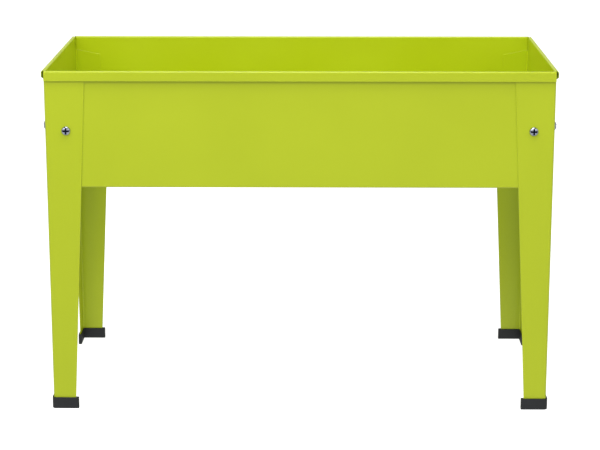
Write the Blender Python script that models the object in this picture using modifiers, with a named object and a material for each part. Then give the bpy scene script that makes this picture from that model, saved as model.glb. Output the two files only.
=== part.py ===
"""Raised planter on legs: a sheet steel trough bolted to four tapered angle legs with plastic foot caps.

Metres, +Z up, +X along the trough, front at -Y. The origin is on the ground under the middle of the trough.
"""

from math import cos, pi, sin

import bmesh
import bpy
from mathutils import Matrix, Vector

# Overall sizes. Length and depth are taken over the folded lips, the height from the ground to the rim.
LENGTH = 0.750
DEPTH = 0.350
HEIGHT = 0.516

# Sheet thicknesses and folds. A bend radius is measured to the middle of the sheet.
PANEL_SHEET = 0.0008
LEG_SHEET = 0.0012
PANEL_BEND = 0.0018
LEG_BEND = 0.0029
BEND_SEGMENTS = 4
FIT_GAP = 0.0003  # between two pieces that touch

# Trough.
TROUGH_DEPTH = 0.1734  # from the rim to the underside of the floor
LIP_DROP = 0.0145  # how far the folded lip hangs down
LIP_PLAY = 0.0025  # free space between a leg and the inside of the lip
LIP_SETBACK = 0.0005  # the lip's end, short of the leg's outer face
LIP_CLIP_LENGTH = 0.020  # sloping clip at the lower corners of the end lips
LIP_CLIP_RISE = 0.0055
CORNER_SETBACK = 0.0020  # the long walls' ends, short of the end panels' outer faces
CORNER_SLOT = 0.021  # open corner between the walls, below the rim
CORNER_RELIEF = 0.0004  # the end wall's cut, past the start of a tab's bend
TAB_WIDTH = 0.040
TAB_SLOPE = 0.008  # how much lower a tab's top is at its free edge
TAB_FOOT = 0.006  # a tab's lower end, above the floor; the end wall is notched up to it
FLOOR_TAB_WIDTH = 0.020
FLOOR_TAB_RELIEF = 0.008  # the floor tab's ends, short of the long walls
DRAIN_HOLE = 0.010
DRAIN_COLUMNS = 4
DRAIN_ROWS = 2
DRAIN_PITCH_X = 0.180
DRAIN_PITCH_Y = 0.160

# Legs.
LEG_TOP_WIDTH = 0.0597
LEG_FOOT_WIDTH = 0.0332
LEG_TOP_CLEARANCE = 0.0009  # between the leg's end and the start of the lip's bend

# Foot caps.
CAP_TOE = 0.0049  # solid end past the leg's foot
CAP_HEIGHT = 0.0174
CAP_SOLE = 0.0030
CAP_OUTER_WALL = 0.0019
CAP_INNER_WALL = 0.0015

# Fasteners. An inset is measured from the leg's outer corner, a drop from the rim.
BOLT_DIAMETER = 0.006
BOLT_LENGTH = 0.016
HEAD_DIAMETER = 0.0132
HEAD_HEIGHT = 0.0046
HEAD_RIM = 0.0011  # the head's straight side, below its dome
DOME_STEPS = 4
RECESS_WIDTH = 0.0092
RECESS_SLOT = 0.0018
RECESS_DEPTH = 0.0024
WASHER_DIAMETER = 0.012
WASHER_THICKNESS = 0.0016
NUT_ACROSS_FLATS = 0.010
NUT_THICKNESS = 0.005
HOLE_CLEARANCE = 0.0003  # on the radius, around a bolt
LONG_SIDE_BOLT_INSET = 0.0307
LONG_SIDE_BOLT_DROP = 0.0882
END_BOLT_INSET = 0.0210
END_BOLT_DROP = 0.0836
ROUND_STEPS = 16

FOLD_ANGLE = 1.0  # radians: two faces that meet more sharply than this are a fold

# Planes that follow from the sizes above.
RIM_OVERHANG = FIT_GAP + LEG_SHEET + LIP_PLAY + PANEL_SHEET
WALL_X = LENGTH / 2 - RIM_OVERHANG
WALL_Y = DEPTH / 2 - RIM_OVERHANG
LEG_X = WALL_X + FIT_GAP + LEG_SHEET
LEG_Y = WALL_Y + FIT_GAP + LEG_SHEET
FLOOR_UNDERSIDE = HEIGHT - TROUGH_DEPTH
RIM_MIDDLE = HEIGHT - PANEL_SHEET / 2
TAB_PLANE_Y = WALL_Y - PANEL_SHEET - FIT_GAP - PANEL_SHEET / 2
END_WALL_Y = TAB_PLANE_Y - PANEL_BEND - CORNER_RELIEF
LEG_BOTTOM = CAP_SOLE + FIT_GAP
LEG_TOP = HEIGHT - PANEL_SHEET / 2 - PANEL_BEND - LEG_TOP_CLEARANCE
CAP_LENGTH = CAP_OUTER_WALL + FIT_GAP + LEG_FOOT_WIDTH + CAP_TOE
CAP_THICKNESS = CAP_OUTER_WALL + FIT_GAP + LEG_SHEET + FIT_GAP + CAP_INNER_WALL

LIME = (0.49, 0.58, 0.03, 1.0)
CHARCOAL = (0.035, 0.038, 0.042, 1.0)
ZINC = (0.62, 0.63, 0.66, 1.0)


def clear_scene():
    for obj in list(bpy.data.objects):
        bpy.data.objects.remove(obj, do_unlink=True)


def collection(name, hidden=False):
    made = bpy.data.collections.new(name)
    bpy.context.scene.collection.children.link(made)
    made.hide_render = hidden
    return made


def material(name, colour, roughness, metallic):
    made = bpy.data.materials.new(name)
    made.use_nodes = True
    shader = made.node_tree.nodes["Principled BSDF"]
    shader.inputs["Base Color"].default_value = colour
    shader.inputs["Roughness"].default_value = roughness
    shader.inputs["Metallic"].default_value = metallic
    made.diffuse_color = colour
    return made


def object_from(bm, name, group, finish=None):
    mesh = bpy.data.meshes.new(name)
    bm.to_mesh(mesh)
    bm.free()
    obj = bpy.data.objects.new(name, mesh)
    group.objects.link(obj)
    if finish:
        mesh.materials.append(finish)
    return obj


def cutter_from(bm, name):
    obj = object_from(bm, name, cutters)
    obj.hide_render = True
    obj.display_type = "WIRE"
    return obj


def baked_mesh(obj):
    """The evaluated mesh of an object, which is then removed."""
    bpy.context.view_layer.update()
    graph = bpy.context.evaluated_depsgraph_get()
    mesh = bpy.data.meshes.new_from_object(obj.evaluated_get(graph))
    mesh.name = obj.name
    bpy.data.objects.remove(obj, do_unlink=True)
    return mesh


def place(name, mesh, position, rotation):
    obj = bpy.data.objects.new(name, mesh)
    planter.objects.link(obj)
    obj.location = position
    obj.rotation_euler = rotation


def cut(obj, cutter):
    modifier = obj.modifiers.new("Cut " + cutter.name, "BOOLEAN")
    modifier.operation = "DIFFERENCE"
    modifier.solver = "EXACT"
    modifier.object = cutter


def thicken(obj, thickness):
    """Gives an open surface its thickness, half to each side."""
    modifier = obj.modifiers.new("Sheet", "SOLIDIFY")
    modifier.thickness = thickness
    modifier.offset = 0.0
    modifier.use_even_offset = True


def fold(bm, edges, move):
    """Adds a flange along the edges and returns its far edges; move gives each new corner's place."""
    made = bmesh.ops.extrude_edge_only(bm, edges=edges)["geom"]
    for corner in (item for item in made if isinstance(item, bmesh.types.BMVert)):
        corner.co = move(corner.co.copy())
    far = [item for item in made if isinstance(item, bmesh.types.BMEdge)]
    return [edge for edge in far if all(vert in made for vert in edge.verts)]


def edges_where(bm, test):
    """The edges whose two ends both pass the test."""
    return [edge for edge in bm.edges if all(test(vert.co) for vert in edge.verts)]


def near(a, b):
    return abs(a - b) < 1e-5


def among(value, choices):
    return any(near(value, choice) for choice in choices)


def round_folds(bm, radius):
    bmesh.ops.recalc_face_normals(bm, faces=bm.faces)
    folds = [edge for edge in bm.edges if not edge.is_boundary and edge.calc_face_angle() > FOLD_ANGLE]
    bmesh.ops.bevel(
        bm,
        geom=folds,
        offset=radius,
        offset_type="OFFSET",
        segments=BEND_SEGMENTS,
        profile=0.5,
        affect="EDGES",
        material=-1,
    )


def rectangle(bm, half_u, half_v, frame):
    """One flat face centred on the frame's origin, in its XY plane."""
    bmesh.ops.create_grid(bm, x_segments=1, y_segments=1, size=0.5)
    for vert in bm.verts:
        vert.co = frame @ Vector((2 * half_u * vert.co.x, 2 * half_v * vert.co.y, 0))


def rod(bm, centre, axis, radius, length):
    turn = Vector((0, 0, 1)).rotation_difference(Vector(axis)).to_matrix().to_4x4()
    bmesh.ops.create_cone(
        bm,
        cap_ends=True,
        segments=ROUND_STEPS,
        radius1=radius,
        radius2=radius,
        depth=length,
        matrix=Matrix.Translation(centre) @ turn,
    )


def turned(name, profile):
    """A round piece about its own Z axis, from (radius, height) points running down its outer side."""
    bm = bmesh.new()
    corners = [bm.verts.new((radius, 0, height)) for radius, height in profile]
    for upper, lower in zip(corners, corners[1:]):
        bm.edges.new((upper, lower))
    obj = object_from(bm, name, planter)
    screw = obj.modifiers.new("Turn", "SCREW")
    screw.steps = ROUND_STEPS
    screw.render_steps = ROUND_STEPS
    screw.use_merge_vertices = True
    screw.merge_threshold = 0.00001
    return obj


def bolt_places():
    """Each bolt's name, the centre of its hole on the leg's outer face, and the way its head faces."""
    for side_x, end in ((-1, "left"), (1, "right")):
        for side_y, side in ((-1, "front"), (1, "back")):
            long_x = side_x * (LEG_X - LONG_SIDE_BOLT_INSET)
            long_z = HEIGHT - LONG_SIDE_BOLT_DROP
            yield f"{side}_{end}_wall", Vector((long_x, side_y * LEG_Y, long_z)), Vector((0, side_y, 0))
            end_y = side_y * (LEG_Y - END_BOLT_INSET)
            end_z = HEIGHT - END_BOLT_DROP
            yield f"{side}_{end}_end", Vector((side_x * LEG_X, end_y, end_z)), Vector((side_x, 0, 0))


def bolt_hole_cutter():
    bm = bmesh.new()
    reach = 2 * BOLT_LENGTH
    for _, centre, outward in bolt_places():
        rod(bm, centre, outward, BOLT_DIAMETER / 2 + HOLE_CLEARANCE, reach)
    return cutter_from(bm, "bolt_holes")


def drain_hole_cutter():
    bm = bmesh.new()
    reach = 10 * PANEL_SHEET
    for column in range(DRAIN_COLUMNS):
        for row in range(DRAIN_ROWS):
            x = (column - (DRAIN_COLUMNS - 1) / 2) * DRAIN_PITCH_X
            y = (row - (DRAIN_ROWS - 1) / 2) * DRAIN_PITCH_Y
            rod(bm, Vector((x, y, FLOOR_UNDERSIDE)), (0, 0, 1), DRAIN_HOLE / 2, reach)
    return cutter_from(bm, "drain_holes")


def trough_wrap(bolt_holes, drain_holes):
    """Front wall, floor and back wall folded from one sheet, with a lip along both top edges."""
    half_length = WALL_X - CORNER_SETBACK
    wall_y = WALL_Y - PANEL_SHEET / 2
    lip_y = DEPTH / 2 - PANEL_SHEET / 2
    lip_end = LEG_X - LIP_SETBACK
    bm = bmesh.new()
    rectangle(bm, half_length, wall_y, Matrix.Translation((0, 0, FLOOR_UNDERSIDE + PANEL_SHEET / 2)))
    for side in (-1, 1):
        edges = edges_where(bm, lambda co, side=side: near(co.y, side * wall_y))
        edges = fold(bm, edges, lambda co: Vector((co.x, co.y, RIM_MIDDLE)))
        stretch = lip_end / half_length
        edges = fold(bm, edges, lambda co, side=side: Vector((co.x * stretch, side * lip_y, co.z)))
        fold(bm, edges, lambda co: Vector((co.x, co.y, HEIGHT - LIP_DROP)))
    round_folds(bm, PANEL_BEND)
    wrap = object_from(bm, "trough_wrap", planter, lime_coat)
    thicken(wrap, PANEL_SHEET)
    cut(wrap, bolt_holes)
    cut(wrap, drain_holes)


def end_panel(name, side, bolt_holes):
    """An end wall with a clipped lip on top, a tab along each upright edge and a tab on the floor."""
    wall_x = side * (WALL_X - PANEL_SHEET / 2)
    lip_x = side * (LENGTH / 2 - PANEL_SHEET / 2)
    bottom = FLOOR_UNDERSIDE + PANEL_SHEET + FIT_GAP + PANEL_SHEET / 2
    half_lip = LEG_Y - LIP_SETBACK
    lip_bottom = HEIGHT - LIP_DROP
    slot_bottom = HEIGHT - CORNER_SLOT
    tab_bottom = bottom + TAB_FOOT
    middle = (RIM_MIDDLE + bottom) / 2
    upright = Matrix.Translation((wall_x, 0, middle)) @ Matrix.Rotation(pi / 2, 4, "Y")
    bm = bmesh.new()
    rectangle(bm, (RIM_MIDDLE - bottom) / 2, TAB_PLANE_Y, upright)
    floor_tab_end = TAB_PLANE_Y - FLOOR_TAB_RELIEF
    floor_tab_ends = (-floor_tab_end, floor_tab_end)
    splits = [((0, 0, slot_bottom), (0, 0, 1)), ((0, 0, tab_bottom), (0, 0, 1))]
    splits += [((0, end, 0), (0, 1, 0)) for end in (-END_WALL_Y, *floor_tab_ends, END_WALL_Y)]
    for point, normal in splits:
        geometry = list(bm.verts) + list(bm.edges) + list(bm.faces)
        bmesh.ops.bisect_plane(bm, geom=geometry, dist=1e-6, plane_co=point, plane_no=normal)
    centres = {face: face.calc_center_median() for face in bm.faces}
    corners = [face for face, at in centres.items() if at.z > slot_bottom and abs(at.y) > END_WALL_Y]
    corners += [face for face, at in centres.items() if at.z < tab_bottom and abs(at.y) > floor_tab_end]
    bmesh.ops.delete(bm, geom=corners, context="FACES")

    tab_x = wall_x - side * TAB_WIDTH
    for end in (-1, 1):
        levels = (tab_bottom, slot_bottom)
        edges = edges_where(bm, lambda co, end=end: near(co.y, end * TAB_PLANE_Y) and among(co.z, levels))
        edges = fold(bm, edges, lambda co: Vector((tab_x, co.y, co.z)))
        highest = max((vert for edge in edges for vert in edge.verts), key=lambda vert: vert.co.z)
        highest.co.z -= TAB_SLOPE
    edges = edges_where(bm, lambda co: near(co.z, bottom) and among(co.y, floor_tab_ends))
    fold(bm, edges, lambda co: Vector((wall_x - side * FLOOR_TAB_WIDTH, co.y, co.z)))

    edges = edges_where(bm, lambda co: near(co.z, RIM_MIDDLE) and near(co.x, wall_x))
    stretch = half_lip / END_WALL_Y
    edges = fold(bm, edges, lambda co: Vector((lip_x, co.y * stretch, co.z)))
    fold(bm, edges, lambda co: Vector((co.x, co.y, lip_bottom)))
    clip_lip(bm, lip_x, half_lip, lip_bottom)
    round_folds(bm, PANEL_BEND)
    panel = object_from(bm, name, planter, lime_coat)
    thicken(panel, PANEL_SHEET)
    cut(panel, bolt_holes)


def clip_lip(bm, lip_x, half_lip, lip_bottom):
    """Cuts the lip's two lower corners off along a shallow slope."""
    for end in (-1, 1):
        lip = [face for face in bm.faces if all(near(vert.co.x, lip_x) for vert in face.verts)]
        geometry = {vert for face in lip for vert in face.verts}
        geometry |= {edge for face in lip for edge in face.edges}
        normal = Vector((0, end * LIP_CLIP_RISE, -LIP_CLIP_LENGTH))
        bmesh.ops.bisect_plane(
            bm,
            geom=list(geometry) + lip,
            dist=1e-6,
            plane_co=(lip_x, end * (half_lip - LIP_CLIP_LENGTH), lip_bottom),
            plane_no=normal,
            clear_outer=True,
        )


def angle_sheet(bm, corner_x, corner_y, bottom, top, bottom_width, top_width, bend):
    """Two flanges that meet at the upright corner; each width is measured from that corner."""
    side_x = 1 if corner_x > 0 else -1
    side_y = 1 if corner_y > 0 else -1
    centre = Vector((corner_x - side_x * bottom_width / 2, corner_y, (bottom + top) / 2))
    upright = Matrix.Translation(centre) @ Matrix.Rotation(pi / 2, 4, "X")
    rectangle(bm, bottom_width / 2, (top - bottom) / 2, upright)

    def width(height):
        return top_width if near(height, top) else bottom_width

    for vert in bm.verts:
        if not near(vert.co.x, corner_x):
            vert.co.x = corner_x - side_x * width(vert.co.z)
    edges = edges_where(bm, lambda co: near(co.x, corner_x))
    fold(bm, edges, lambda co: Vector((co.x, corner_y - side_y * width(co.z), co.z)))
    round_folds(bm, bend)


def width_at(height):
    """The leg's flange width at a height, on its straight taper."""
    share = (height - LEG_BOTTOM) / (LEG_TOP - LEG_BOTTOM)
    return LEG_FOOT_WIDTH + (LEG_TOP_WIDTH - LEG_FOOT_WIDTH) * share


def leg(name, side_x, side_y, bolt_holes):
    half = LEG_SHEET / 2
    bm = bmesh.new()
    angle_sheet(
        bm,
        side_x * (LEG_X - half),
        side_y * (LEG_Y - half),
        LEG_BOTTOM,
        LEG_TOP,
        LEG_FOOT_WIDTH - half,
        LEG_TOP_WIDTH - half,
        LEG_BEND,
    )
    obj = object_from(bm, name, planter, lime_coat)
    thicken(obj, LEG_SHEET)
    cut(obj, bolt_holes)


def foot_cap(name, side_x, side_y):
    """An angle-shaped shoe: a thick angle with a slot from its top that the leg's end stands in."""
    middle = FIT_GAP + CAP_OUTER_WALL - CAP_THICKNESS / 2
    bm = bmesh.new()
    angle_sheet(
        bm,
        side_x * (LEG_X + middle),
        side_y * (LEG_Y + middle),
        0.0,
        CAP_HEIGHT,
        CAP_LENGTH - CAP_THICKNESS / 2,
        CAP_LENGTH - CAP_THICKNESS / 2,
        LEG_BEND,
    )
    obj = object_from(bm, name, planter, charcoal_plastic)
    thicken(obj, CAP_THICKNESS)

    half = LEG_SHEET / 2
    slot_top = CAP_HEIGHT + FIT_GAP
    slot_width = width_at(slot_top) - half + FIT_GAP
    slot = bmesh.new()
    angle_sheet(
        slot,
        side_x * (LEG_X - half),
        side_y * (LEG_Y - half),
        CAP_SOLE,
        slot_top,
        slot_width,
        slot_width,
        LEG_BEND,
    )
    cutter = cutter_from(slot, name + "_slot")
    thicken(cutter, LEG_SHEET + 2 * FIT_GAP)
    cut(obj, cutter)


def bolt_mesh():
    """Cross-recess truss-head bolt along Z: its head stands on Z = 0 and its shank points down."""
    head = HEAD_DIAMETER / 2
    shank = BOLT_DIAMETER / 2
    profile = []
    for step in range(DOME_STEPS + 1):
        angle = pi / 2 * step / DOME_STEPS
        profile.append((head * sin(angle), HEAD_RIM + (HEAD_HEIGHT - HEAD_RIM) * cos(angle)))
    profile += [(head, 0), (shank, 0), (shank, -BOLT_LENGTH), (0, -BOLT_LENGTH)]
    bolt = turned("bolt", profile)
    slots = []
    for width, depth in ((RECESS_WIDTH, RECESS_SLOT), (RECESS_SLOT, RECESS_WIDTH)):
        bm = bmesh.new()
        block = Matrix.Diagonal((width, depth, 2 * RECESS_DEPTH, 1))
        bmesh.ops.create_cube(bm, size=1.0, matrix=Matrix.Translation((0, 0, HEAD_HEIGHT)) @ block)
        slots.append(cutter_from(bm, "cross_slot"))
        cut(bolt, slots[-1])
    mesh = baked_mesh(bolt)
    for slot in slots:
        bpy.data.objects.remove(slot, do_unlink=True)
    return mesh


def washer_mesh():
    outer = WASHER_DIAMETER / 2
    inner = BOLT_DIAMETER / 2 + HOLE_CLEARANCE
    profile = [
        (inner, WASHER_THICKNESS),
        (outer, WASHER_THICKNESS),
        (outer, 0),
        (inner, 0),
        (inner, WASHER_THICKNESS),
    ]
    return baked_mesh(turned("washer", profile))


def nut_mesh():
    bm = bmesh.new()
    corner_radius = NUT_ACROSS_FLATS / 3**0.5
    bmesh.ops.create_cone(
        bm,
        cap_ends=True,
        segments=6,
        radius1=corner_radius,
        radius2=corner_radius,
        depth=NUT_THICKNESS,
        matrix=Matrix.Translation((0, 0, NUT_THICKNESS / 2)),
    )
    nut = object_from(bm, "nut", planter)
    hole = bmesh.new()
    middle = Vector((0, 0, NUT_THICKNESS / 2))
    rod(hole, middle, (0, 0, 1), BOLT_DIAMETER / 2 + HOLE_CLEARANCE, 2 * NUT_THICKNESS)
    cutter = cutter_from(hole, "nut_hole")
    cut(nut, cutter)
    mesh = baked_mesh(nut)
    bpy.data.objects.remove(cutter, do_unlink=True)
    return mesh


def fasteners():
    meshes = {"bolt": bolt_mesh(), "washer": washer_mesh(), "nut": nut_mesh()}
    for mesh in meshes.values():
        mesh.materials.append(zinc_plate)
        mesh.shade_smooth()
        mesh.set_sharp_from_angle(angle=pi / 6)
    for name, centre, outward in bolt_places():
        stack = FIT_GAP + LEG_SHEET + PANEL_SHEET + FIT_GAP
        if name.endswith("wall"):
            stack += FIT_GAP + PANEL_SHEET
        turn = Vector((0, 0, 1)).rotation_difference(outward).to_euler()
        place("bolt_" + name, meshes["bolt"], centre + outward * FIT_GAP, turn)
        washer_base = stack + WASHER_THICKNESS
        place("washer_" + name, meshes["washer"], centre - outward * washer_base, turn)
        nut_base = washer_base + FIT_GAP + NUT_THICKNESS
        place("nut_" + name, meshes["nut"], centre - outward * nut_base, turn)


clear_scene()
planter = collection("raised_planter")
cutters = collection("cutters", hidden=True)
lime_coat = material("lime powder coat", LIME, 0.35, 0.0)
charcoal_plastic = material("charcoal plastic", CHARCOAL, 0.55, 0.0)
zinc_plate = material("zinc plated steel", ZINC, 0.25, 1.0)

bolt_hole_rods = bolt_hole_cutter()
trough_wrap(bolt_hole_rods, drain_hole_cutter())
end_panel("left_end_panel", -1, bolt_hole_rods)
end_panel("right_end_panel", 1, bolt_hole_rods)
for leg_x, leg_end in ((-1, "left"), (1, "right")):
    for leg_y, leg_side in ((-1, "front"), (1, "back")):
        leg(f"{leg_side}_{leg_end}_leg", leg_x, leg_y, bolt_hole_rods)
        foot_cap(f"{leg_side}_{leg_end}_foot_cap", leg_x, leg_y)
fasteners()
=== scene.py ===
from math import cos, hypot, pi, radians, sin, tan

import bmesh
import bpy
from mathutils import Matrix, Vector


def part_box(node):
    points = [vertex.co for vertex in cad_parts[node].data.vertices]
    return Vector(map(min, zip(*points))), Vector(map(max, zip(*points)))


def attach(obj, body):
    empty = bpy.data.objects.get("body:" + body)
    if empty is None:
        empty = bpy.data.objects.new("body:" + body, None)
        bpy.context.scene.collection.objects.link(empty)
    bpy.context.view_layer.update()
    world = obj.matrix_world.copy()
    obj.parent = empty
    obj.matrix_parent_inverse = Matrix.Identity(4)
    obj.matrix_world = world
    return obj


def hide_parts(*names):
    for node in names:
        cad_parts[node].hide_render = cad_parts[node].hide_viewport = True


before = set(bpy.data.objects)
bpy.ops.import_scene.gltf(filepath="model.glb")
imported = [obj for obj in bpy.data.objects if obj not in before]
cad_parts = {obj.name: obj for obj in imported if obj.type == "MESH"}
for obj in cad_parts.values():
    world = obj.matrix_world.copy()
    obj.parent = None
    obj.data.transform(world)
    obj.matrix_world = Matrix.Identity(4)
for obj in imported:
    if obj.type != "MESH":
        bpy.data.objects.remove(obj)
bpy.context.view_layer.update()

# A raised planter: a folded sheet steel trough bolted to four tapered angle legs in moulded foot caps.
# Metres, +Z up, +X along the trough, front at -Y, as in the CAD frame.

SIDES_X = ((-1, "left"), (1, "right"))
SIDES_Y = ((-1, "front"), (1, "back"))

# Places read from the CAD solids, on the right and at the back, where every value is positive.
SHELL_LOW, SHELL_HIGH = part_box("trough_wrap")
RIM_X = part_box("right_end_panel")[1].x
RIM_Y = SHELL_HIGH.y
RIM_Z = SHELL_HIGH.z
FLOOR_Z = SHELL_LOW.z
LIP_END_X = SHELL_HIGH.x
LEG_LOW, LEG_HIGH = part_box("back_right_leg")
LEG_TOP_WIDTH = LEG_HIGH.x - LEG_LOW.x
CAP_LOW, CAP_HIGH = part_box("back_right_foot_cap")
CAP_LENGTH = CAP_HIGH.x - CAP_LOW.x
CAP_HEIGHT = CAP_HIGH.z

# Sheets and folds. A bend radius is measured to the middle of the sheet.
PANEL_SHEET = 0.0008
LEG_SHEET = 0.0012
PANEL_BEND = 0.0018
LEG_BEND = 0.0029
BEND_SEGMENTS = 8
FIT_GAP = 0.0003
FOLD_ANGLE = 1.0
COATED_EDGE = 0.00025  # rounding that the powder coat leaves on a cut edge

WALL_X = LEG_HIGH.x - LEG_SHEET - FIT_GAP
WALL_Y = LEG_HIGH.y - LEG_SHEET - FIT_GAP
RIM_MIDDLE = RIM_Z - PANEL_SHEET / 2

# Trough.
LIP_DROP = 0.0145
LIP_SETBACK = 0.0005
LIP_CLIP_LENGTH = 0.020
LIP_CLIP_RISE = 0.0055
CORNER_SETBACK = 0.0020
CORNER_SLOT = 0.021
CORNER_RELIEF = 0.0004
TAB_WIDTH = 0.040
TAB_SLOPE = 0.008
TAB_FOOT = 0.006
FLOOR_TAB_WIDTH = 0.020
FLOOR_TAB_RELIEF = 0.008
DRAIN_HOLE = 0.010
DRAIN_COLUMNS = 4
DRAIN_ROWS = 2
DRAIN_PITCH_X = 0.180
DRAIN_PITCH_Y = 0.160
TAB_PLANE_Y = WALL_Y - PANEL_SHEET - FIT_GAP - PANEL_SHEET / 2
END_WALL_Y = TAB_PLANE_Y - PANEL_BEND - CORNER_RELIEF
HOLE_STEPS = 24
HOLE_MARGIN = 1.35
SAME_PLACE = 1e-5
WELD = 1e-6

# Legs and caps.
LEG_FOOT_WIDTH = 0.0332
CAP_SOLE = 0.0030
CAP_OUTER_WALL = 0.0019
CAP_INNER_WALL = 0.0015
CAP_THICKNESS = CAP_OUTER_WALL + CAP_INNER_WALL + LEG_SHEET + 2 * FIT_GAP
CAP_EDGE = 0.0007  # moulded rounding on every outer edge

# Fasteners: M6, one millimetre of pitch.
BOLT_RADIUS = 0.003
BOLT_LENGTH = 0.016
THREAD_PITCH = 0.001
THREAD_DEPTH = 0.0004
HEAD_RADIUS = 0.0066
HEAD_HEIGHT = 0.0046
HEAD_RIM = 0.0011
DOME_STEPS = 10
RECESS_REACH = 0.0049
RECESS_HALF_WIDTH = 0.0013
RECESS_DEPTH = 0.0030
RECESS_RISE = 0.75  # how much shallower the cross is at its arms' ends
RECESS_DRAFT = 0.85
# Face attribute that marks the cross recess, which the zinc material paints dark as painted shade.
RECESS_SHADE = "recess"
TURN_STEPS = 48
WASHER_RADIUS = 0.006
WASHER_THICKNESS = 0.0016
NUT_ACROSS_FLATS = 0.010
NUT_THICKNESS = 0.005
HOLE_CLEARANCE = 0.0003
SOFT_EDGE = 0.0002

# Colours, in sRGB.
LIME_DEEP = "#b9c911"
LIME_PALE = "#bece17"
CHARCOAL_DEEP = "#1a1d1f"
CHARCOAL_PALE = "#212426"
ZINC_COOL = "#7b849b"
ZINC_BRIGHT = "#ccd1da"
# Painted shade: the dark navy that the bolts' cross recess is painted with.
ZINC_RECESS_PAINTED_SHADE = "#10172c"

# The room's light by the sine of its elevation, as shares of its strength.
ROOM_FRONT = -0.3
ROOM_BACK = 0.5
ROOM_FRONT_STRENGTH = 1.1
ROOM_BACK_STRENGTH = 0.75
ROOM_BAND = (
    (-1.0, 0.72),
    (-0.17, 0.72),
    (-0.02, 0.25),
    (0.08, 0.36),
    (0.18, 0.80),
    (0.62, 0.80),
    (0.80, 0.15),
    (1.0, 0.05),
)

# The backdrop and the light table's own light.
FLOOR_GLOW = 0.95
FLOOR_RADIUS = 30.0
FLOOR_PALE = "#bababa"
FLOOR_PALER = "#bebebe"



# ---------------------------------------------------------------- materials


def linear(hex_colour):
    """Turns an sRGB hex colour into linear values for a shader socket."""
    channels = [int(hex_colour[place : place + 2], 16) / 255 for place in (1, 3, 5)]
    shares = [c / 12.92 if c <= 0.04045 else ((c + 0.055) / 1.055) ** 2.4 for c in channels]
    return (*shares, 1.0)


def add(tree, kind, inputs=None, **settings):
    """Adds one node, sets its properties and its sockets, and links sockets given as sockets."""
    made = tree.nodes.new(kind)
    for name, value in settings.items():
        setattr(made, name, value)
    for name, value in (inputs or {}).items():
        if isinstance(value, bpy.types.NodeSocket):
            tree.links.new(value, made.inputs[name])
        else:
            made.inputs[name].default_value = value
    return made


def surface(name, **sockets):
    """A new material with one Principled shader, and the object coordinates its patterns read."""
    made = bpy.data.materials.new(name)
    made.use_nodes = True
    tree = made.node_tree
    tree.nodes.clear()
    inputs = {key.replace("_", " "): value for key, value in sockets.items()}
    shader = add(tree, "ShaderNodeBsdfPrincipled", inputs)
    add(tree, "ShaderNodeOutputMaterial", {"Surface": shader.outputs["BSDF"]})
    place = add(tree, "ShaderNodeTexCoord").outputs["Object"]
    return made, tree, shader, place


def per_metre(millimetres):
    """The texture scale whose features are this far apart."""
    return 1000 / millimetres


def lime_powder_coat():
    """Polyester powder coat sprayed and baked on sheet steel: an even satin skin, gently rippled like
    orange peel, which spreads highlights softly along every fold."""
    made, tree, shader, place = surface(
        "lime polyester powder coat, baked on sheet steel",
        IOR=1.5,
        Metallic=0.0,
    )
    # The film's thickness drifts over a hand's width, which shifts its depth of colour very slightly.
    drift = add(tree, "ShaderNodeTexNoise", {"Vector": place, "Scale": per_metre(120), "Detail": 2.0})
    speck = add(tree, "ShaderNodeTexNoise", {"Vector": place, "Scale": per_metre(0.9), "Detail": 1.0})
    both = add(
        tree,
        "ShaderNodeMath",
        {0: drift.outputs["Fac"], 1: speck.outputs["Fac"]},
        operation="ADD",
    )
    tone = add(
        tree,
        "ShaderNodeMapRange",
        {"Value": both.outputs["Value"], "From Min": 0.7, "From Max": 1.3, "To Min": 0.0, "To Max": 1.0},
    )
    colour = add(
        tree,
        "ShaderNodeMix",
        {"Factor": tone.outputs["Result"], "A": linear(LIME_DEEP), "B": linear(LIME_PALE)},
        data_type="RGBA",
    )
    gloss = add(
        tree,
        "ShaderNodeMapRange",
        {"Value": drift.outputs["Fac"], "From Min": 0.3, "From Max": 0.7, "To Min": 0.29, "To Max": 0.34},
    )
    # Real orange peel is 1 to 2 mm from crest to crest; it is drawn at 3 mm so that it shows.
    peel = add(tree, "ShaderNodeTexNoise", {"Vector": place, "Scale": per_metre(3.0), "Detail": 1.0})
    ripple = add(
        tree,
        "ShaderNodeBump",
        {"Height": peel.outputs["Fac"], "Strength": 0.6, "Distance": 0.00004},
    )
    tree.links.new(colour.outputs["Result"], shader.inputs["Base Color"])
    tree.links.new(gloss.outputs["Result"], shader.inputs["Roughness"])
    tree.links.new(ripple.outputs["Normal"], shader.inputs["Normal"])
    return made


def charcoal_plastic():
    """Polypropylene injection moulded in a spark-eroded mould: a matt, finely pebbled skin that stays
    nearly black, with a faint cold sheen on its rounded edges."""
    made, tree, shader, place = surface(
        "charcoal polypropylene, moulded with a spark-eroded grain",
        IOR=1.49,
        Metallic=0.0,
    )
    # The mould's grain is about 0.3 mm across; it is drawn at 1 mm so that it shows.
    grain = add(tree, "ShaderNodeTexNoise", {"Vector": place, "Scale": per_metre(1.0), "Detail": 3.0})
    flow = add(tree, "ShaderNodeTexNoise", {"Vector": place, "Scale": per_metre(9.0), "Detail": 1.0})
    colour = add(
        tree,
        "ShaderNodeMix",
        {"Factor": flow.outputs["Fac"], "A": linear(CHARCOAL_DEEP), "B": linear(CHARCOAL_PALE)},
        data_type="RGBA",
    )
    gloss = add(
        tree,
        "ShaderNodeMapRange",
        {"Value": grain.outputs["Fac"], "From Min": 0.3, "From Max": 0.7, "To Min": 0.48, "To Max": 0.62},
    )
    pebbles = add(
        tree,
        "ShaderNodeBump",
        {"Height": grain.outputs["Fac"], "Strength": 0.5, "Distance": 0.00006},
    )
    tree.links.new(colour.outputs["Result"], shader.inputs["Base Color"])
    tree.links.new(gloss.outputs["Result"], shader.inputs["Roughness"])
    tree.links.new(pebbles.outputs["Normal"], shader.inputs["Normal"])
    return made


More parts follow.
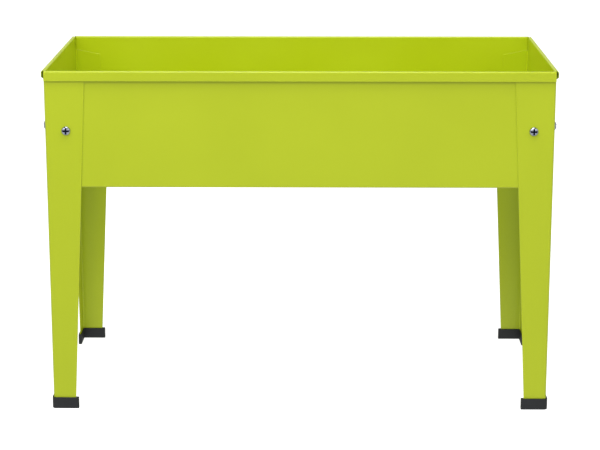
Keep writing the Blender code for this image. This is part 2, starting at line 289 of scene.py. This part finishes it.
def zinc_plate():
    """Cold-headed steel, barrel zinc plated and blue passivated: a bright metal with a cool cast, a
    little uneven from tumbling, that mirrors the room in small broken glints."""
    made, tree, shader, place = surface(
        "steel, barrel zinc plated and blue passivated",
        Metallic=1.0,
    )
    # Passivation drifts in colour across a head, over 3 to 4 mm.
    film = add(tree, "ShaderNodeTexNoise", {"Vector": place, "Scale": per_metre(3.5), "Detail": 2.0})
    # Tumbling marks are some 0.2 mm across; they are drawn at 0.6 mm so that they show.
    marks = add(tree, "ShaderNodeTexNoise", {"Vector": place, "Scale": per_metre(0.6), "Detail": 2.0})
    colour = add(
        tree,
        "ShaderNodeMix",
        {"Factor": film.outputs["Fac"], "A": linear(ZINC_COOL), "B": linear(ZINC_BRIGHT)},
        data_type="RGBA",
    )
    # The cross recess is painted dark navy: painted shade and painted dark reflection for the inside of
    # the cross.
    recess = add(tree, "ShaderNodeAttribute", attribute_name=RECESS_SHADE).outputs["Fac"]
    shaded = add(
        tree,
        "ShaderNodeMix",
        {"Factor": recess, "A": colour.outputs["Result"], "B": linear(ZINC_RECESS_PAINTED_SHADE)},
        data_type="RGBA",
    )
    gloss = add(
        tree,
        "ShaderNodeMapRange",
        {"Value": marks.outputs["Fac"], "From Min": 0.3, "From Max": 0.7, "To Min": 0.12, "To Max": 0.24},
    )
    dents = add(
        tree,
        "ShaderNodeBump",
        {"Height": marks.outputs["Fac"], "Strength": 0.4, "Distance": 0.00002},
    )
    tree.links.new(shaded.outputs["Result"], shader.inputs["Base Color"])
    tree.links.new(gloss.outputs["Result"], shader.inputs["Roughness"])
    tree.links.new(dents.outputs["Normal"], shader.inputs["Normal"])
    return made


def pale_floor():
    """Opal acrylic light table: matt white, lit from below, so shadows on it stay faint."""
    made, tree, shader, place = surface(
        "opal acrylic light table",
        Roughness=0.9,
        Specular_IOR_Level=0.1,
        Emission_Color=(1.0, 1.0, 1.0, 1.0),
        Emission_Strength=FLOOR_GLOW,
    )
    cloud = add(tree, "ShaderNodeTexNoise", {"Vector": place, "Scale": per_metre(400), "Detail": 1.0})
    colour = add(
        tree,
        "ShaderNodeMix",
        {"Factor": cloud.outputs["Fac"], "A": linear(FLOOR_PALE), "B": linear(FLOOR_PALER)},
        data_type="RGBA",
    )
    tree.links.new(colour.outputs["Result"], shader.inputs["Base Color"])
    return made


# ---------------------------------------------------------------- mesh helpers


def near(a, b):
    return abs(a - b) < SAME_PLACE


def among(value, choices):
    return any(near(value, choice) for choice in choices)


def edges_where(bm, test):
    """The edges whose two ends both pass the test."""
    return [edge for edge in bm.edges if all(test(vert.co) for vert in edge.verts)]


def split(bm, point, normal, faces=None, **options):
    """Cuts the faces, or the whole mesh, along a plane."""
    chosen = list(bm.faces) if faces is None else list(faces)
    geometry = {vert for face in chosen for vert in face.verts}
    geometry |= {edge for face in chosen for edge in face.edges}
    bmesh.ops.bisect_plane(
        bm,
        geom=chosen + list(geometry),
        dist=WELD,
        plane_co=point,
        plane_no=normal,
        **options,
    )


def flat_sheet(bm, half_u, half_v, frame_matrix):
    """One flat face centred on the matrix's origin, in its XY plane."""
    made = bmesh.ops.create_grid(bm, x_segments=1, y_segments=1, size=0.5)["verts"]
    stretch = Matrix.Diagonal((2 * half_u, 2 * half_v, 1, 1))
    bmesh.ops.transform(bm, matrix=frame_matrix @ stretch, verts=made)


def fold(bm, edges, move):
    """Adds a flange along the edges and returns its far edges; move gives each new corner's place."""
    made = bmesh.ops.extrude_edge_only(bm, edges=edges)["geom"]
    for corner in (item for item in made if isinstance(item, bmesh.types.BMVert)):
        corner.co = move(corner.co.copy())
    far = [item for item in made if isinstance(item, bmesh.types.BMEdge)]
    return [edge for edge in far if all(vert in made for vert in edge.verts)]


def round_folds(bm, radius):
    bmesh.ops.recalc_face_normals(bm, faces=bm.faces)
    folds = [edge for edge in bm.edges if not edge.is_boundary and edge.calc_face_angle() > FOLD_ANGLE]
    bmesh.ops.bevel(
        bm,
        geom=folds,
        offset=radius,
        offset_type="OFFSET",
        segments=BEND_SEGMENTS,
        profile=0.5,
        affect="EDGES",
        material=-1,
    )


def face_at(bm, point):
    """The flat face that the point lies on."""
    for face in bm.faces:
        height = (point - face.verts[0].co).dot(face.normal)
        if abs(height) < SAME_PLACE and bmesh.geometry.intersect_face_point(face, point):
            return face
    return None


def drill(bm, point, axis, radius):
    """Opens a round hole through a flat part of a sheet: a square is cut free round the point, inset,
    and its inner edge is drawn into a circle."""
    along = axis.orthogonal().normalized()
    across = axis.cross(along)
    reach = radius * HOLE_MARGIN
    bm.normal_update()
    if face_at(bm, point) is None:
        return
    for direction in (along, across, -along, -across):
        split(bm, point + direction * reach, direction, [face_at(bm, point)])
    square = face_at(bm, point)
    rim = list(square.edges)
    bmesh.ops.delete(bm, geom=[square], context="FACES_ONLY")
    bmesh.ops.subdivide_edges(bm, edges=rim, cuts=HOLE_STEPS // 4 - 1)
    frees = [
        edge
        for edge in bm.edges
        if edge.is_boundary and all((vert.co - point).length < reach * 1.5 for vert in edge.verts)
    ]
    plate = bmesh.ops.edgeloop_fill(bm, edges=frees)["faces"]
    bmesh.ops.inset_individual(bm, faces=plate, thickness=reach - radius, use_even_offset=True)
    for vert in plate[0].verts:
        vert.co = point + (vert.co - point).normalized() * radius
    bmesh.ops.delete(bm, geom=plate, context="FACES_ONLY")


def piece(name, bm, finish, node):
    """Makes the mesh an object that stands for a CAD node and rides on its body."""
    mesh = bpy.data.meshes.new(name)
    bm.to_mesh(mesh)
    bm.free()
    mesh.materials.append(finish)
    mesh.shade_smooth()
    obj = bpy.data.objects.new(name, mesh)
    bpy.context.scene.collection.objects.link(obj)
    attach(obj, "root")
    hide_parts(node)
    return obj


def soften(obj, width, segments, angle):
    """Rounds the sharp edges and keeps the flat faces between them flat."""
    modifier = obj.modifiers.new("Soft edges", "BEVEL")
    modifier.width = width
    modifier.segments = segments
    modifier.limit_method = "ANGLE"
    modifier.angle_limit = angle
    modifier = obj.modifiers.new("Flat faces", "WEIGHTED_NORMAL")
    modifier.mode = "FACE_AREA"
    modifier.weight = 100
    modifier.keep_sharp = True


def coated_sheet(obj, thickness):
    """Gives an open surface its sheet thickness and the coat's soft cut edges."""
    modifier = obj.modifiers.new("Sheet", "SOLIDIFY")
    modifier.thickness = thickness
    modifier.offset = 0.0
    modifier.use_even_offset = True
    soften(obj, COATED_EDGE, 2, radians(50))


# ---------------------------------------------------------------- trough


def bolt_places():
    """Each bolt's name, the middle of its hole on the leg's outer face, and the way its head faces."""
    for side_x, end in SIDES_X:
        for side_y, side in SIDES_Y:
            for face, outward in (("wall", Vector((0, side_y, 0))), ("end", Vector((side_x, 0, 0)))):
                name = f"{side}_{end}_{face}"
                low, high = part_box("bolt_" + name)
                middle = (low + high) / 2
                if face == "wall":
                    middle.y = side_y * LEG_HIGH.y
                else:
                    middle.x = side_x * LEG_HIGH.x
                yield name, middle, outward


def drill_bolt_holes(bm, planes):
    """Drills every bolt's hole where its axis crosses one of the planes, given as (axis index, place)."""
    for _, middle, outward in bolt_places():
        for index, place in planes:
            if abs(outward[index]) > 0.5 and place * outward[index] > 0:
                point = middle.copy()
                point[index] = place
                drill(bm, point, outward, BOLT_RADIUS + HOLE_CLEARANCE)


def trough_shell():
    """Front wall, floor and back wall folded from one sheet, with a lip along both top edges."""
    half_length = WALL_X - CORNER_SETBACK
    wall = WALL_Y - PANEL_SHEET / 2
    lip = RIM_Y - PANEL_SHEET / 2
    bm = bmesh.new()
    flat_sheet(bm, half_length, wall, Matrix.Translation((0, 0, FLOOR_Z + PANEL_SHEET / 2)))
    stretch = LIP_END_X / half_length
    for side in (-1, 1):
        edges = edges_where(bm, lambda co, side=side: near(co.y, side * wall))
        edges = fold(bm, edges, lambda co: Vector((co.x, co.y, RIM_MIDDLE)))
        edges = fold(bm, edges, lambda co, side=side: Vector((co.x * stretch, side * lip, co.z)))
        fold(bm, edges, lambda co: Vector((co.x, co.y, RIM_Z - LIP_DROP)))
    round_folds(bm, PANEL_BEND)
    for column in range(DRAIN_COLUMNS):
        for row in range(DRAIN_ROWS):
            x = (column - (DRAIN_COLUMNS - 1) / 2) * DRAIN_PITCH_X
            y = (row - (DRAIN_ROWS - 1) / 2) * DRAIN_PITCH_Y
            drill(bm, Vector((x, y, FLOOR_Z + PANEL_SHEET / 2)), Vector((0, 0, 1)), DRAIN_HOLE / 2)
    drill_bolt_holes(bm, ((1, -wall), (1, wall)))
    bmesh.ops.recalc_face_normals(bm, faces=bm.faces)
    obj = piece("trough_shell", bm, LIME, "trough_wrap")
    coated_sheet(obj, PANEL_SHEET)


def clip_lip(bm, lip_x, half_lip, lip_bottom):
    """Cuts the lip's two lower corners off along a shallow slope."""
    for end in (-1, 1):
        lip = [face for face in bm.faces if all(near(vert.co.x, lip_x) for vert in face.verts)]
        point = (lip_x, end * (half_lip - LIP_CLIP_LENGTH), lip_bottom)
        split(bm, point, (0, end * LIP_CLIP_RISE, -LIP_CLIP_LENGTH), lip, clear_outer=True)


def end_wall(end, side):
    """An end wall with a clipped lip on top, a tab along each upright edge and a tab on the floor."""
    wall_x = side * (WALL_X - PANEL_SHEET / 2)
    lip_x = side * (RIM_X - PANEL_SHEET / 2)
    bottom = FLOOR_Z + PANEL_SHEET + FIT_GAP + PANEL_SHEET / 2
    half_lip = LEG_HIGH.y - LIP_SETBACK
    lip_bottom = RIM_Z - LIP_DROP
    slot_bottom = RIM_Z - CORNER_SLOT
    tab_bottom = bottom + TAB_FOOT
    floor_tab_end = TAB_PLANE_Y - FLOOR_TAB_RELIEF
    floor_tab_ends = (-floor_tab_end, floor_tab_end)
    middle = (RIM_MIDDLE + bottom) / 2
    upright = Matrix.Translation((wall_x, 0, middle)) @ Matrix.Rotation(pi / 2, 4, "Y")
    bm = bmesh.new()
    flat_sheet(bm, (RIM_MIDDLE - bottom) / 2, TAB_PLANE_Y, upright)
    split(bm, (0, 0, slot_bottom), (0, 0, 1))
    split(bm, (0, 0, tab_bottom), (0, 0, 1))
    for y in (-END_WALL_Y, *floor_tab_ends, END_WALL_Y):
        split(bm, (0, y, 0), (0, 1, 0))
    centres = {face: face.calc_center_median() for face in bm.faces}
    corners = [face for face, at in centres.items() if at.z > slot_bottom and abs(at.y) > END_WALL_Y]
    corners += [face for face, at in centres.items() if at.z < tab_bottom and abs(at.y) > floor_tab_end]
    bmesh.ops.delete(bm, geom=corners, context="FACES")

    tab_x = wall_x - side * TAB_WIDTH
    levels = (tab_bottom, slot_bottom)
    for hand in (-1, 1):
        plane = hand * TAB_PLANE_Y
        edges = edges_where(bm, lambda co, plane=plane: near(co.y, plane) and among(co.z, levels))
        edges = fold(bm, edges, lambda co: Vector((tab_x, co.y, co.z)))
        highest = max((vert for edge in edges for vert in edge.verts), key=lambda vert: vert.co.z)
        highest.co.z -= TAB_SLOPE
    edges = edges_where(bm, lambda co: near(co.z, bottom) and among(co.y, floor_tab_ends))
    fold(bm, edges, lambda co: Vector((wall_x - side * FLOOR_TAB_WIDTH, co.y, co.z)))

    edges = edges_where(bm, lambda co: near(co.z, RIM_MIDDLE) and near(co.x, wall_x))
    stretch = half_lip / END_WALL_Y
    edges = fold(bm, edges, lambda co: Vector((lip_x, co.y * stretch, co.z)))
    fold(bm, edges, lambda co: Vector((co.x, co.y, lip_bottom)))
    clip_lip(bm, lip_x, half_lip, lip_bottom)
    round_folds(bm, PANEL_BEND)
    drill_bolt_holes(bm, ((0, wall_x), (1, -TAB_PLANE_Y), (1, TAB_PLANE_Y)))
    bmesh.ops.recalc_face_normals(bm, faces=bm.faces)
    obj = piece(f"{end}_end_wall", bm, LIME, f"{end}_end_panel")
    coated_sheet(obj, PANEL_SHEET)


# ---------------------------------------------------------------- legs and caps


def angle_sheet(bm, side_x, side_y, corner_x, corner_y, bottom, top, bottom_width, top_width, bend):
    """Two flanges that meet at the upright corner; each width is measured from that corner."""
    middle = Vector((side_x * (corner_x - bottom_width / 2), side_y * corner_y, (bottom + top) / 2))
    upright = Matrix.Translation(middle) @ Matrix.Rotation(pi / 2, 4, "X")
    flat_sheet(bm, bottom_width / 2, (top - bottom) / 2, upright)

    def width(height):
        return top_width if near(height, top) else bottom_width

    for vert in bm.verts:
        if not near(vert.co.x, side_x * corner_x):
            vert.co.x = side_x * (corner_x - width(vert.co.z))
    edges = edges_where(bm, lambda co: near(co.x, side_x * corner_x))
    fold(bm, edges, lambda co: Vector((co.x, side_y * (corner_y - width(co.z)), co.z)))
    round_folds(bm, bend)


def leg(side, end, side_x, side_y):
    """A tapered angle folded from thick sheet, with one bolt hole in each flange."""
    half = LEG_SHEET / 2
    bm = bmesh.new()
    angle_sheet(
        bm,
        side_x,
        side_y,
        LEG_HIGH.x - half,
        LEG_HIGH.y - half,
        LEG_LOW.z,
        LEG_HIGH.z,
        LEG_FOOT_WIDTH - half,
        LEG_TOP_WIDTH - half,
        LEG_BEND,
    )
    drill_bolt_holes(bm, ((0, side_x * (LEG_HIGH.x - half)), (1, side_y * (LEG_HIGH.y - half))))
    bmesh.ops.recalc_face_normals(bm, faces=bm.faces)
    name = f"{side}_{end}_leg"
    obj = piece("coated_" + name, bm, LIME, name)
    coated_sheet(obj, LEG_SHEET)


def foot_cap(side, end, side_x, side_y):
    """A thick moulded angle with a blind slot in its top, into which the leg's foot is pushed."""
    half = CAP_THICKNESS / 2
    bm = bmesh.new()
    angle_sheet(
        bm,
        side_x,
        side_y,
        CAP_HIGH.x,
        CAP_HIGH.y,
        0.0,
        CAP_HEIGHT,
        CAP_LENGTH,
        CAP_LENGTH,
        LEG_BEND + half,
    )
    bmesh.ops.recalc_face_normals(bm, faces=bm.faces)
    outward = Vector((side_x, side_y, 0))
    if any(face.normal.dot(outward) < 0 for face in bm.faces):
        bmesh.ops.reverse_faces(bm, faces=bm.faces)
    bmesh.ops.solidify(bm, geom=list(bm.faces), thickness=CAP_THICKNESS)
    bmesh.ops.recalc_face_normals(bm, faces=bm.faces)
    top = [face for face in bm.faces if all(near(vert.co.z, CAP_HEIGHT) for vert in face.verts)]
    bmesh.ops.inset_region(
        bm,
        faces=top,
        thickness=(CAP_THICKNESS - LEG_SHEET - 2 * FIT_GAP) / 2,
        use_boundary=True,
        use_even_offset=True,
    )
    made = bmesh.ops.extrude_face_region(bm, geom=top)["geom"]
    bmesh.ops.delete(bm, geom=top, context="FACES")
    sunk = [item for item in made if isinstance(item, bmesh.types.BMVert)]
    bmesh.ops.translate(bm, vec=(0, 0, CAP_SOLE - CAP_HEIGHT), verts=sunk)
    bmesh.ops.recalc_face_normals(bm, faces=bm.faces)
    name = f"{side}_{end}_foot_cap"
    obj = piece("moulded_" + name, bm, CHARCOAL, name)
    soften(obj, CAP_EDGE, 3, radians(50))


# ---------------------------------------------------------------- fasteners


def turned(profile):
    """A round solid about Z, spun from (radius, height) points that run from pole to pole."""
    bm = bmesh.new()
    corners = [bm.verts.new((radius, 0, height)) for radius, height in profile]
    edges = [bm.edges.new(pair) for pair in zip(corners, corners[1:])]
    bmesh.ops.spin(
        bm,
        geom=corners + edges,
        axis=(0, 0, 1),
        cent=(0, 0, 0),
        angle=2 * pi,
        steps=TURN_STEPS,
        use_merge=True,
    )
    bmesh.ops.remove_doubles(bm, verts=bm.verts, dist=WELD)
    bmesh.ops.recalc_face_normals(bm, faces=bm.faces)
    return bm


def bolt_form():
    """Cross-recess truss-head bolt along Z: its head stands on Z = 0 and its shank points down. The
    thread is drawn as rings one pitch apart."""
    profile = []
    for step in range(DOME_STEPS + 1):
        angle = pi / 2 * step / DOME_STEPS
        profile.append((HEAD_RADIUS * sin(angle), HEAD_RIM + (HEAD_HEIGHT - HEAD_RIM) * cos(angle)))
    profile += [(HEAD_RADIUS, SOFT_EDGE), (HEAD_RADIUS - SOFT_EDGE, 0), (BOLT_RADIUS, 0)]
    for turn in range(1, int(BOLT_LENGTH / THREAD_PITCH)):
        profile.append((BOLT_RADIUS, -THREAD_PITCH * (turn - 0.5)))
        profile.append((BOLT_RADIUS - THREAD_DEPTH, -THREAD_PITCH * turn))
    profile += [(BOLT_RADIUS - THREAD_DEPTH, -BOLT_LENGTH), (0, -BOLT_LENGTH)]
    bm = turned(profile)
    painted_shade_layer = bm.faces.layers.float.new(RECESS_SHADE)
    for direction in (Vector((1, 0, 0)), Vector((0, 1, 0))):
        for reach in (-RECESS_REACH, -RECESS_HALF_WIDTH, RECESS_HALF_WIDTH, RECESS_REACH):
            dome = [face for face in bm.faces if face.calc_center_median().z > HEAD_RIM]
            split(bm, direction * reach, direction, dome)

    def in_cross(at):
        across, along = sorted((abs(at.x), abs(at.y)))
        return at.z > HEAD_RIM and across < RECESS_HALF_WIDTH and along < RECESS_REACH

    recess = [face for face in bm.faces if in_cross(face.calc_center_median())]
    before = set(bm.faces)
    made = bmesh.ops.extrude_face_region(bm, geom=recess)["geom"]
    bmesh.ops.delete(bm, geom=recess, context="FACES")
    for vert in (item for item in made if isinstance(item, bmesh.types.BMVert)):
        away = hypot(vert.co.x, vert.co.y) / RECESS_REACH
        vert.co.z -= RECESS_DEPTH * (1 - RECESS_RISE * away)
        vert.co.x *= RECESS_DRAFT
        vert.co.y *= RECESS_DRAFT
    # The recess's new faces are marked, so the zinc material paints them dark: painted shade.
    for face in bm.faces:
        if face not in before:
            face[painted_shade_layer] = 1.0
    bmesh.ops.recalc_face_normals(bm, faces=bm.faces)
    return bm


def washer_form():
    """Flat washer on Z = 0, with soft punched edges."""
    inner = BOLT_RADIUS + HOLE_CLEARANCE
    outer = WASHER_RADIUS
    top = WASHER_THICKNESS
    profile = [
        (inner, SOFT_EDGE),
        (inner, top - SOFT_EDGE),
        (inner + SOFT_EDGE, top),
        (outer - SOFT_EDGE, top),
        (outer, top - SOFT_EDGE),
        (outer, SOFT_EDGE),
        (outer - SOFT_EDGE, 0),
        (inner + SOFT_EDGE, 0),
        (inner, SOFT_EDGE),
    ]
    return turned(profile)


def nut_form():
    """Hexagon nut on Z = 0: its corners are turned down at thirty degrees on both faces."""
    bm = bmesh.new()
    flat = NUT_ACROSS_FLATS / 2
    bmesh.ops.create_circle(bm, cap_ends=False, segments=6, radius=flat / cos(pi / 6))
    hexagon = list(bm.edges)
    bmesh.ops.subdivide_edges(bm, edges=hexagon, cuts=7)
    hexagon = list(bm.edges)
    radius = BOLT_RADIUS + HOLE_CLEARANCE
    made = bmesh.ops.create_circle(bm, cap_ends=False, segments=48, radius=radius)["verts"]
    hole = list({edge for vert in made for edge in vert.link_edges})
    bmesh.ops.bridge_loops(bm, edges=hexagon + hole)
    made = bmesh.ops.extrude_face_region(bm, geom=list(bm.faces), use_keep_orig=True)["geom"]
    lifted = [item for item in made if isinstance(item, bmesh.types.BMVert)]
    bmesh.ops.translate(bm, vec=(0, 0, NUT_THICKNESS), verts=lifted)
    for vert in bm.verts:
        past_flat = max(0, hypot(vert.co.x, vert.co.y) - flat + SOFT_EDGE)
        drop = past_flat * tan(pi / 6)
        vert.co.z += drop if vert.co.z < NUT_THICKNESS / 2 else -drop
    bmesh.ops.recalc_face_normals(bm, faces=bm.faces)
    return bm


def fasteners():
    forms = {"bolt": bolt_form(), "washer": washer_form(), "nut": nut_form()}
    for name, middle, outward in bolt_places():
        turn = Vector((0, 0, 1)).rotation_difference(outward).to_matrix().to_4x4()
        for kind, form in forms.items():
            low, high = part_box(f"{kind}_{name}")
            ends = (low.dot(outward), high.dot(outward))
            base = min(ends)
            if kind == "bolt":
                base = max(ends) - HEAD_HEIGHT
            place = (low + high) / 2
            place += outward * (base - place.dot(outward))
            copy = form.copy()
            bmesh.ops.transform(copy, matrix=Matrix.Translation(place) @ turn, verts=copy.verts)
            obj = piece(f"plated_{kind}_{name}", copy, ZINC, f"{kind}_{name}")
            obj.data.set_sharp_from_angle(angle=radians(35))
    for form in forms.values():
        form.free()


# ---------------------------------------------------------------- studio


def floor():
    bm = bmesh.new()
    bmesh.ops.create_circle(bm, cap_ends=True, segments=64, radius=FLOOR_RADIUS)
    mesh = bpy.data.meshes.new("studio_floor")
    bm.to_mesh(mesh)
    bm.free()
    mesh.materials.append(pale_floor())
    obj = bpy.data.objects.new("studio_floor", mesh)
    bpy.context.scene.collection.objects.link(obj)
    obj.visible_diffuse = False
    obj.visible_glossy = False


def soft_light(name, place, target, width, height, power):
    light = bpy.data.lights.new(name, "AREA")
    light.shape = "RECTANGLE"
    light.size = width
    light.size_y = height
    light.energy = power
    hang(name, light, place, target)


def hang(name, light, place, target):
    obj = bpy.data.objects.new(name, light)
    bpy.context.scene.collection.objects.link(obj)
    obj.location = place
    obj.rotation_euler = (Vector(target) - Vector(place)).to_track_quat("-Z", "Y").to_euler()


def white_room():
    """The backdrop shows plain white; the light it sends is a soft band over the horizon, dim below."""
    world = bpy.data.worlds.new("white room")
    world.use_nodes = True
    tree = world.node_tree
    tree.nodes.clear()
    direction = add(tree, "ShaderNodeTexCoord").outputs["Generated"]
    parts = add(tree, "ShaderNodeSeparateXYZ", {"Vector": direction})
    share = add(
        tree,
        "ShaderNodeMapRange",
        {"Value": parts.outputs["Z"], "From Min": -1.0, "From Max": 1.0, "To Min": 0.0, "To Max": 1.0},
    )
    ramp = add(tree, "ShaderNodeValToRGB", {"Fac": share.outputs["Result"]})
    elements = ramp.color_ramp.elements
    while len(elements) < len(ROOM_BAND):
        elements.new(0.5)
    for element, (sine, value) in zip(elements, ROOM_BAND):
        element.position = (sine + 1) / 2
        element.color = (value, value, value, 1.0)
    strength = add(
        tree,
        "ShaderNodeMapRange",
        {
            "Value": parts.outputs["Y"],
            "From Min": ROOM_FRONT,
            "From Max": ROOM_BACK,
            "To Min": ROOM_FRONT_STRENGTH,
            "To Max": ROOM_BACK_STRENGTH,
        },
        interpolation_type="SMOOTHSTEP",
    )
    lighting = add(
        tree,
        "ShaderNodeBackground",
        {"Color": ramp.outputs["Color"], "Strength": strength.outputs["Result"]},
    )
    backdrop = add(tree, "ShaderNodeBackground", {"Color": (1.0, 1.0, 1.0, 1.0), "Strength": 1.0})
    seen = add(tree, "ShaderNodeLightPath").outputs["Is Camera Ray"]
    both = add(
        tree,
        "ShaderNodeMixShader",
        {0: seen, 1: lighting.outputs["Background"], 2: backdrop.outputs["Background"]},
    )
    add(tree, "ShaderNodeOutputWorld", {"Surface": both.outputs["Shader"]})
    bpy.context.scene.world = world


def studio():
    floor()
    white_room()
    soft_light("high left key", (-0.5, -2.1, 2.6), (0, 0, 0.45), 0.8, 0.5, 16)
    soft_light("left softbox", (-1.7, -2.2, 1.9), (0, 0, 0.35), 0.8, 0.8, 9)
    soft_light("right fill", (1.9, -2.4, 1.7), (0, 0, 0.35), 0.8, 0.8, 3)
    soft_light("overhead", (0, -0.6, 2.6), (0, 0, 0.35), 1.2, 1.2, 34)


def camera():
    lens = bpy.data.cameras.new("camera")
    lens.sensor_width = 36.0
    lens.lens = 107.16
    lens.shift_y = -0.06
    obj = bpy.data.objects.new("camera", lens)
    bpy.context.scene.collection.objects.link(obj)
    obj.location = (0.0233, -2.7235, 0.9455)
    obj.rotation_euler = (radians(90 - 13.322), 0.0, radians(0.511))
    bpy.context.scene.camera = obj


LIME = lime_powder_coat()
CHARCOAL = charcoal_plastic()
ZINC = zinc_plate()

trough_shell()
for side_x, end in SIDES_X:
    end_wall(end, side_x)
    for side_y, side in SIDES_Y:
        leg(side, end, side_x, side_y)
        foot_cap(side, end, side_x, side_y)
fasteners()
studio()
camera()
bpy.context.scene.view_settings.view_transform = "Standard"
